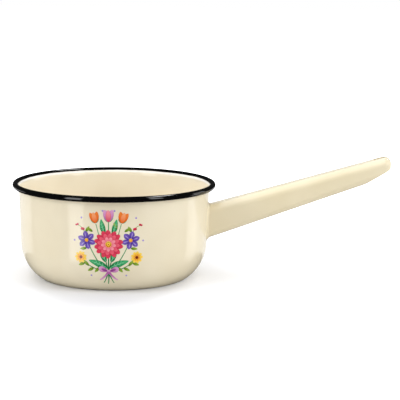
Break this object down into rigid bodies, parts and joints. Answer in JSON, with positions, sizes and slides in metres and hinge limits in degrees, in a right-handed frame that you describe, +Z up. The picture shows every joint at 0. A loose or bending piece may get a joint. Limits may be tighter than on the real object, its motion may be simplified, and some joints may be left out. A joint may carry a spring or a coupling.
{
  "type": "milk pan",
  "caption": "Enamelled steel milk pan: straight-walled round vessel with a wide curved belly, flat base and rolled black rim, and a hollow rising handle with a hanging slot.",
  "frame": {"origin": "middle of the flat base, on the plane that the pan stands on", "axes": "+Z up along the axis of the round vessel, +X out along the handle, and the XZ plane halves the pan into mirror images"},
  "size_m": [0.3153, 0.1696, 0.1025],
  "materials": {
    "cream_enamel": "glossy cream vitreous enamel on sheet steel",
    "black_enamel": "glossy black vitreous enamel"
  },
  "bodies": {
    "root": {"vessel": "cream_enamel", "rolled_rim": "black_enamel", "handle_shell": "cream_enamel", "seam_weld": "cream_enamel", "root_weld": "cream_enamel"}
  },
  "joints": []
}
